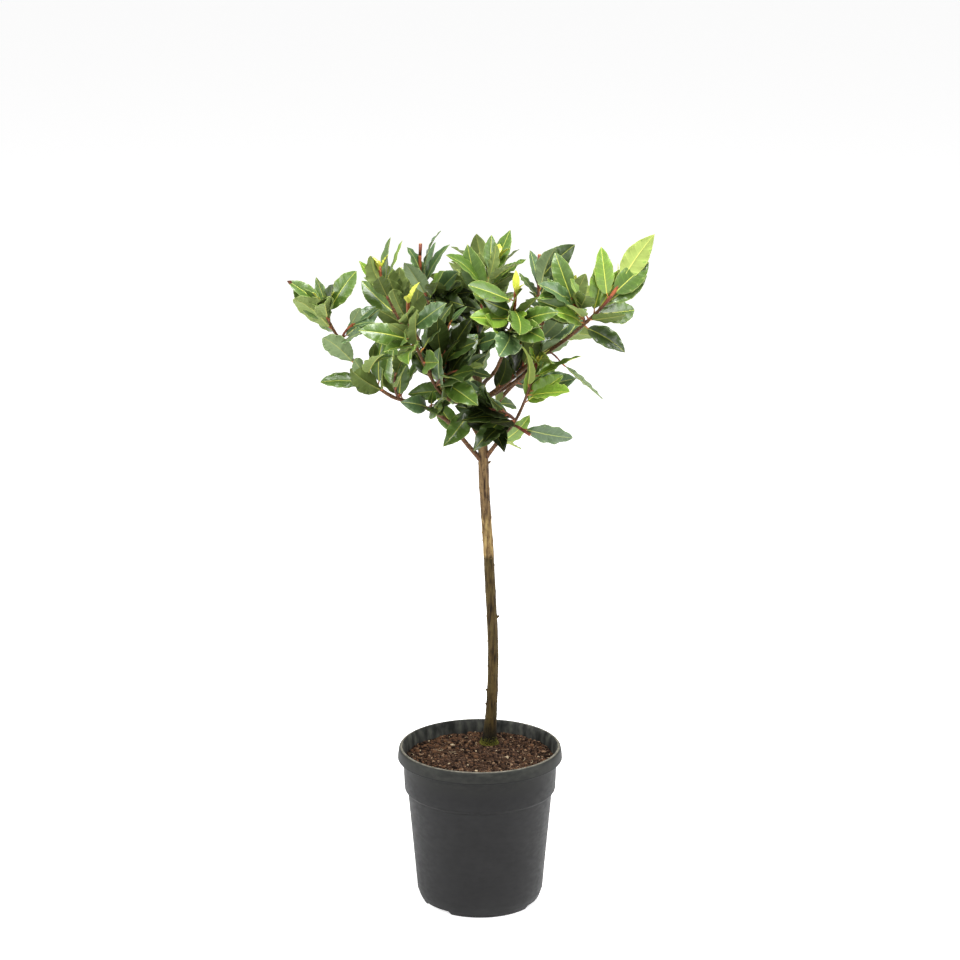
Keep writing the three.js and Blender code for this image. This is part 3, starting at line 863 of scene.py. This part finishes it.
    def fill(self, piece, mass, own, near, rng, spray):
        """More leaves round the shoot, each turned on from the last, where the mass has room for them."""
        room, slack = (INNER_LEAF_ROOM, INNER_SLACK) if is_inner(mass) else (LEAF_ROOM, 0)
        wanted = max(0, round(mass.volume / room) - len(mass.tips))
        inside = [pair for pair in near if mass.distance(pair[0]) < 8]
        starts = own * (1 + len(inside) // max(len(own), 1)) + inside
        outward = unit(mass.middle * np.array([1.0, 1.0, 0.0]) - np.array([0.0, 12.0, 0.0]))
        turn = rng.uniform(0, 6.28)
        tries = wanted * 40
        for attempt in range(tries):
            if wanted == 0:
                return
            turn += GOLDEN
            node, way = rng.choice(starts)
            spread = math.radians(rng.uniform(28, 78))
            aim = way * math.cos(spread) + round_shoot(way, turn) * math.sin(spread)
            tip = node + aim * rng.uniform(48, 70)
            if np.dot(unit(tip - node), outward) > 0.55 and rng.random() < 0.75:
                continue  # few leaves hide the shoot from outside
            outside = max(mass.distance(tip) - 5, mass.distance(node + (tip - node) * 0.6) - 4)
            if outside > slack or not self.is_free(node, tip, 24, 0.85 - 0.4 * attempt / tries):
                continue
            self.leaf(piece, node, way, tip, rng, self.tint(spray, rng))
            wanted -= 1

    def top_leaves(self, piece, mass, place, way, rng, spray):
        """Three leaves round a side shoot's end, as long as the mass has room for."""
        turn = rng.uniform(0, 6.28)
        for k in range(3):
            aim = way * math.cos(0.55) + round_shoot(way, turn + k * GOLDEN) * math.sin(0.55)
            fitting = [length for length in (58, 50, 42, 34) if mass.distance(place + aim * length) < 7]
            length = fitting[0] if fitting else 26
            self.leaf(piece, place - way * k * 2, way, place + aim * length, rng, self.tint(spray, rng))

    def cut_end(self, place, way):
        """A pruned shoot: a short bare stub, cut square."""
        line = np.array([place, place + way * 6, place + way * 13])
        self.twigs.add(*tube(line, [1.8, 1.9, 2.0], 8), "twig_red")
        self.twigs.add(*tube(np.array([line[-1], line[-1] + way * 0.4]), [1.9, 1.8], 8), "cut_wood")

    def bud(self, piece, place, way, rng):
        """A shoot's tip: an orange-red neck, a pointed bud and two or three small new leaves."""
        neck = np.array([place - way * 5, place, place + way * 4])
        self.twigs.add(*tube(neck, [1.9, 2.0, 1.7], 7), "twig_orange")
        bud = np.array([neck[-1] + way * d for d in (0, 2, 4.5, 7)])
        self.twigs.add(*tube(bud, [1.4, 1.9, 1.5, 0.3], 7), "bud")
        turn = rng.uniform(0, 6.28)
        for k in range(rng.choice([2, 3])):
            aim = way * 0.85 + round_shoot(way, turn + k * GOLDEN) * 0.55
            tip = place + aim * rng.uniform(16, 26)
            self.leaf(piece, place + way * (k - 1) * 2.5, way, tip, rng, "young", rng.uniform(-0.3, 0.3))


# ---- bark

FLARE = 1.2  # how much the stem widens to its foot, and over what length in mm
FLARE_LENGTH = 22
COLLAR = 0.5  # how much a bough swells where it leaves the trunk, and over what length in mm
COLLAR_LENGTH = 12
# Old leaf stubs on the stem: height, turn from the front (+ to the right) and length, in mm and degrees.
SNAGS = [(516, 80, 4.5), (433, -60, 3.6), (402, 20, 3.4), (398, 150, 3.6), (330, 75, 5.0)]
SNAGS += [(262, -150, 3.5), (240, -80, 4.4), (226, 60, 3.6), (222, -95, 3.8)]


def build_trunk(limb):
    """The trunk's bark: fine ridges, old leaf scars, a few snags, over the solid's own lean and taper."""
    line = smooth_line(limb.line[::4], 1.1)
    at = np.linspace(0, 1, len(line))
    radii = np.interp(at, np.linspace(0, 1, len(limb.radii)), limb.radii)
    radii = radii + FLARE * np.exp(-lengths_along(line) / FLARE_LENGTH)

    def relief(place, turn, along):
        ridges = 0.16 * rough(place * np.array([1, 1, 0.16]), 1.3, 1)
        lumps = 0.34 * rough(place * np.array([1, 1, 0.45]), 7.0, 2)
        ring = max(0, math.cos(TAU * (along + 9 * rough(place, 60, 3)) / 31)) ** 18
        return ridges + lumps + 0.35 * ring

    piece = Piece("trunk", "trunk_bark", {"bark": trunk_material()})
    piece.add(*tube(line, radii, 44, relief), "bark")
    for height, turn, length in SNAGS:
        foot = line[np.argmin(np.abs(line[:, 2] - height))]
        out = np.array([math.sin(math.radians(turn)), -math.cos(math.radians(turn)), 0.35])
        root = foot + unit(out) * 4.2
        ends = [root, root + unit(out) * length * 0.6, root + unit(out + UP * 0.3) * length]
        snag = smooth_line(np.array(ends), 0.8)
        piece.add(*tube(snag, np.linspace(1.9, 0.9, len(snag)), 10), "bark")
    piece.build(replaces=["trunk"])


def build_boughs(limbs):
    piece = Piece("boughs", "bough_bark", {"bark": bough_material()})
    for number, limb in enumerate(limbs):
        line = smooth_line(np.vstack([limb.line[:-1:5], limb.line[-1:]]), 1.6)
        radii = np.interp(lengths_along(line), lengths_along(limb.line), limb.radii)
        radii = radii + COLLAR * radii[0] * np.exp(-lengths_along(line) / COLLAR_LENGTH)

        def relief(place, turn, along):
            scar = max(0, math.cos(TAU * (along + number * 5) / 19)) ** 14
            return 0.12 * rough(place, 1.6, number) + 0.2 * rough(place, 6, number + 9) + 0.3 * scar

        piece.add(*tube(line, radii, 14, relief), "bark")
    piece.build(replaces=[limb.node for limb in limbs])


# ---- pot

FOOT_GAPS = [math.radians(a) for a in (-49, 71, 191)]
FOOT_GAP_HALF = math.radians(18)
POT_SIDES = 180


def pot_profile():
    """The pot's section, radius and height in mm: the underside, then the outside, then the inside."""
    _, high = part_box("pot")
    rim, top = high.x / MM, high.z / MM
    below = [(0, 0), (11.4, 0), (12, 0.6), (12, 4.4), (59, 4.4), (59.4, 0.6)]
    foot = [(60, 0), (66, 0), (66.8, 0.6), (69, 4.5), (70.6, 8), (71.6, 11), (72.8, 14.5), (74.2, 30)]
    step = [(83.4, 131.5), (83.9, 133), (85.4, 134.6), (87, 135.8), (87.4, 137.4)]
    collar = [(88.3, 160), (88.6, 172.6), (93.6, 173)]
    rim_outside = [(rim - 0.4, 172.3), (rim, 172.8), (rim - 0.2, 176), (rim - 1.1, 182), (rim - 1.8, 184.8)]
    lip = [(rim - 2.6, top - 0.7), (rim - 3.6, top - 0.1), (rim - 4.4, top)]
    lip_inside = [(rim - 5.2, top - 0.3), (rim - 5.9, top - 1.2)]
    inside = [(87.9, 182), (87.1, 172), (86, 138), (85.6, 136.6), (82.6, 133.6), (82.1, 131.6)]
    bottom = [(71.6, 16), (68.6, 6.4), (0, 6.4)]
    return below, foot + step + collar + rim_outside + lip, lip_inside + inside + bottom


def build_pot():
    """The nursery pot, turned from its section, with its foot cut up at the gaps."""
    below, outside, inside = pot_profile()
    points = []
    for radius, height in below + outside + inside:
        for turn in angles(POT_SIDES):
            lift = foot_lift(turn, radius, height)
            points.append([radius * math.sin(turn), -radius * math.cos(turn), height + lift])
    faces = rings_joined(len(below + outside + inside), POT_SIDES)
    first_inside = len(below + outside) * POT_SIDES
    kinds = ["inside" if face[0] >= first_inside else "plastic" for face in faces]
    piece = Piece("pot_shell", "pot_plastic", {"plastic": pot_material(), "inside": pot_inside_material()})
    piece.add(points, faces, kinds)
    pot = piece.build(replaces=["pot"])
    tidy_poles(pot)
    soften(pot)


def foot_lift(turn, radius, height):
    """How far the ring foot is cut up at its three gaps."""
    if height > 4.4 or radius < 58:
        return 0.0
    off = min(abs((turn - gap + math.pi) % (TAU) - math.pi) for gap in FOOT_GAPS)
    open_share = min(max((FOOT_GAP_HALF - off) / math.radians(2.2), 0), 1)
    return (4.4 - height) * open_share


def tidy_poles(shown):
    """Joins the rings of points that have shrunk to one on the axis."""
    made = bmesh.new()
    made.from_mesh(shown.data)
    bmesh.ops.remove_doubles(made, verts=made.verts, dist=0.00002)
    bmesh.ops.recalc_face_normals(made, faces=made.faces)
    made.to_mesh(shown.data)
    made.free()


def soften(shown, angle=42):
    """Smooth shading, but with its sharp turns kept."""
    shown.data.set_sharp_from_angle(angle=math.radians(angle))


# ---- compost

BED_RINGS = 96
BED_SIDES = 240
CRUMB_TRIES = 4600
FIBRE_TRIES = 110
CRUMB_TINTS = {
    "crumb_dark": 0x1A110B,
    "crumb_brown": 0x3F2E22,
    "crumb_warm": 0x5A412F,
    "crumb_tan": 0x7E6650,
    "crumb_pale": 0xA8967A,
}
CRUMB_SHARES = (30, 34, 22, 12, 1)
FIBRE_TINTS = ("crumb_tan", "crumb_warm", "crumb_dark", "crumb_pale")


class Bed:
    """The compost's surface, in mm: it rises from the pot's wall to the trunk, with hollows and lumps."""

    def __init__(self, foot):
        _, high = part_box("compost")
        self.foot = foot
        self.radius = high.x / MM - 0.2
        self.edge = 170.6
        self.stand = high.z / MM - 0.6

    def from_foot(self, x, y):
        return math.hypot(x - self.foot[0], y - self.foot[1])

    def height(self, x, y):
        away = self.from_foot(x, y)
        mound = max(0, 1 - away / 95) ** 2 * (self.stand - self.edge)
        place = np.array([x, y, 0.0])
        calm = min(1, away / 14)
        return self.edge + mound + calm * (2.0 * rough(place, 26, 4) + 1.7 * rough(place, 9, 5))

    def anywhere(self, rng, share):
        """A place on the bed, up to this share of the way out."""
        turn = rng.uniform(0, TAU)
        reach = self.radius * math.sqrt(rng.random()) * share
        return reach * math.cos(turn), reach * math.sin(turn)


def build_bed(bed):
    """Moist peat and bark, rough all over, with a short skirt down the pot's wall."""
    points = []
    for i in range(BED_RINGS + 1):
        reach = bed.radius * (i + 0.02) / (BED_RINGS + 0.02)
        for turn in angles(BED_SIDES):
            x, y = reach * math.cos(turn), reach * math.sin(turn)
            place = np.array([x, y, 0.0])
            grain = 0.7 * rough(place, 2.6, 6) + 0.45 * rough(place, 1.3, 7)
            points.append([x, y, bed.height(x, y) + grain])
    points += [[x, y, 140.0] for x, y, _ in points[-BED_SIDES:]]
    faces = [face[::-1] for face in rings_joined(BED_RINGS + 2, BED_SIDES)]
    faces.append(list(range(BED_SIDES)))
    piece = Piece("compost_bed", "compost", {"soil": compost_material()})
    piece.add(points, faces, "soil")
    piece.build(replaces=["compost"])


def ball_shape():
    """The corners and faces of a coarse ball."""
    made = bmesh.new()
    bmesh.ops.create_icosphere(made, subdivisions=1, radius=1.0)
    made.verts.index_update()
    corners = np.array([corner.co for corner in made.verts])
    faces = [[corner.index for corner in face.verts] for face in made.faces]
    made.free()
    return corners, faces


def crumb(corners, size, x, rng):
    """A jagged lump round the origin, longer than wide and wider than high."""
    shape = size * np.array([rng.uniform(0.8, 1.5), rng.uniform(0.6, 1.0), rng.uniform(0.5, 0.8)])
    spin = rng.uniform(0, TAU)
    jag = 1 + 0.5 * np.array([rough(c * 3 + x, 1.0, 8) for c in corners])[:, None]
    long, wide, high = (corners * jag * shape).T
    cos, sin = math.cos(spin), math.sin(spin)
    return np.stack([long * cos - wide * sin, long * sin + wide * cos, high], axis=1)


def fibre(bed, x, y, rng):
    """A short root or shred of bark lying on the bed, or None where it would meet the pot."""
    heading = rng.uniform(0, TAU)
    length = rng.uniform(4, 12)
    line = []
    for t in (-0.5, -0.2, 0.15, 0.5):
        at_x = x + math.cos(heading + t) * length * t
        at_y = y + math.sin(heading + t) * length * t
        if math.hypot(at_x, at_y) > bed.radius - 1.5:
            return None
        line.append([at_x, at_y, bed.height(at_x, at_y) + 0.8 + 0.9 * rng.random()])
    return np.array(line)


def build_crumbs(bed):
    """Loose crumbs, chips and fibres on the bed. Those at the back left are warmer."""
    rng = random.Random("compost")
    kinds = {name: plain_rough(name, colour) for name, colour in CRUMB_TINTS.items()}
    crumbs = Piece("compost_crumbs", "compost", kinds)
    corners, faces = ball_shape()
    for _ in range(CRUMB_TRIES):
        x, y = bed.anywhere(rng, 0.985)
        if bed.from_foot(x, y) < 8.5:
            continue
        size = min(0.45 + rng.expovariate(2.0), 3.2)
        local = crumb(corners, size, x, rng)
        kind = rng.choices(list(CRUMB_TINTS), CRUMB_SHARES)[0]
        if kind == "crumb_brown" and y > 20 and x < 0:
            kind = "crumb_warm"
        crumbs.add(local + np.array([x, y, bed.height(x, y) + size * 0.25]), faces, kind)
    for _ in range(FIBRE_TRIES):
        x, y = bed.anywhere(rng, 0.95)
        line = fibre(bed, x, y, rng)
        if line is not None and bed.from_foot(x, y) > 12:
            crumbs.add(*tube(line, [0.18, 0.3, 0.28, 0.12], 4), rng.choice(FIBRE_TINTS))
    crumbs.build()


MOSS_TINTS = {"moss_yellow": 0x77752C, "moss_olive": 0x5C5A26, "moss_green": 0x474E1E}


def build_moss(foot, stand, stem):
    """A small cushion of moss on a stem's foot of this radius: many short pointed leaves."""
    rng = random.Random("moss")
    kinds = {name: plain_rough(name, colour, 0.8) for name, colour in MOSS_TINTS.items()}
    moss = Piece("moss", "compost", kinds)
    for _ in range(1500):
        turn = rng.uniform(0, TAU)
        side = rng.random() ** 0.7
        front = 0.5 - 0.5 * math.sin(turn)  # the moss is deepest in front of the stem
        if rng.random() > 0.25 + front:
            continue
        reach = stem + side * (0.6 + 2.2 * front)
        climb = max(0, 1 - side * 1.3) * rng.uniform(0, 4 + 6 * front)
        if climb > 0.5:
            reach = stem + rng.uniform(-0.3, 0.3) - climb * 0.03
        cos, sin = math.cos(turn), math.sin(turn)
        base = np.array([foot[0] + reach * cos, foot[1] + reach * sin, stand - 0.8 + climb])
        out = unit(np.array([cos + rng.gauss(0, 0.5), sin + rng.gauss(0, 0.5), rng.uniform(0.3, 1.6)]))
        any_way = np.array([rng.gauss(0, 1), rng.gauss(0, 1), rng.gauss(0, 1)])
        wide = square_to(any_way, out) * rng.uniform(0.25, 0.5)
        length = rng.uniform(0.9, 2.1)
        thick = np.cross(out, wide)
        points = [base - wide, base + wide, base + thick, base + out * length]
        moss.add(points, [[0, 1, 3], [1, 2, 3], [2, 0, 3], [0, 2, 1]], rng.choice(list(MOSS_TINTS)))
    moss.build()


# ---- studio

CEILING = 0.28  # its brightness against the walls
# Each light's name, place in m, size in m and power in W. All of them face the plant.
LIGHTS = [
    ("left", (-2.1, -0.4, 1.4), 1.3, 36),
    ("right", (2.1, -0.2, 1.4), 1.3, 34),
    ("top", (0.3, -0.6, 2.5), 1.1, 84),
    ("front", (-1.1, -2.6, 2.1), 1.0, 26),
]
CAMERA = {"place": (0, -3.2, 1.3366), "down": 0.2550, "lens": 110}


def build_floor():
    """A flat white floor that glows a little."""
    pale = bpy.data.materials.new("studio_white")
    pale.use_nodes = True
    inputs = pale.node_tree.nodes["Principled BSDF"].inputs
    inputs["Base Color"].default_value = (0.85, 0.85, 0.85, 1)
    inputs["Roughness"].default_value = 0.9
    inputs["Emission Color"].default_value = (1, 1, 1, 1)
    inputs["Emission Strength"].default_value = 0.68
    place = (0, 0, -0.0004)
    bpy.ops.mesh.primitive_circle_add(vertices=96, radius=30, fill_type="NGON", location=place)
    floor = bpy.context.object
    floor.name = "floor"
    floor.data.materials.append(pale)


def build_world():
    """The studio's walls are white a little way up from the floor, and its ceiling is dim."""
    world = bpy.data.worlds.new("studio")
    scene.world = world
    world.use_nodes = True
    tree = world.node_tree
    place = tree.nodes.new("ShaderNodeTexCoord")
    split = tree.nodes.new("ShaderNodeSeparateXYZ")
    ramp = tree.nodes.new("ShaderNodeValToRGB")
    for point, (where, level) in zip(ramp.color_ramp.elements, ((0.13, 0.97), (0.3, CEILING))):
        point.position = where
        point.color = (level, level, level, 1)
    tree.links.new(place.outputs["Generated"], split.inputs["Vector"])
    tree.links.new(split.outputs["Z"], ramp.inputs["Fac"])
    tree.links.new(ramp.outputs["Color"], tree.nodes["Background"].inputs["Color"])


def build_lights():
    for name, place, size, power in LIGHTS:
        data = bpy.data.lights.new(name, "AREA")
        data.shape = "DISK"
        data.size = size
        data.energy = power
        lamp = bpy.data.objects.new(name, data)
        lamp.location = place
        aim = Vector((0, 0, 0.5)) - Vector(place)
        lamp.rotation_euler = aim.to_track_quat("-Z", "Y").to_euler()
        scene.collection.objects.link(lamp)


def build_camera():
    data = bpy.data.cameras.new("camera")
    data.lens = CAMERA["lens"]
    data.sensor_width = 36
    camera = bpy.data.objects.new("camera", data)
    camera.location = CAMERA["place"]
    camera.rotation_euler = (math.pi / 2 - CAMERA["down"], 0, 0)
    scene.collection.objects.link(camera)
    scene.camera = camera
    scene.view_settings.view_transform = "Standard"


# ---- the plant

LEAF_MATERIALS = leaf_materials()
TWIG_MATERIALS = twig_materials()

trunk = Limb("trunk")
boughs = [Limb(name, trunk) for name in sorted(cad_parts) if name.startswith("bough_")]
masses = [Mass(name) for name in sorted(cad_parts) if name.startswith("foliage_")]

build_camera()
build_floor()
build_world()
build_lights()
build_pot()
bed = Bed(trunk.line[0])
build_bed(bed)
build_crumbs(bed)
build_moss(trunk.line[0], trunk.line[0][2], trunk.radii[0] + FLARE)
build_trunk(trunk)
build_boughs(boughs)
grower = Grower(trunk, boughs, masses)
for mass in masses:
    grower.grow(mass)
grower.twigs.build()
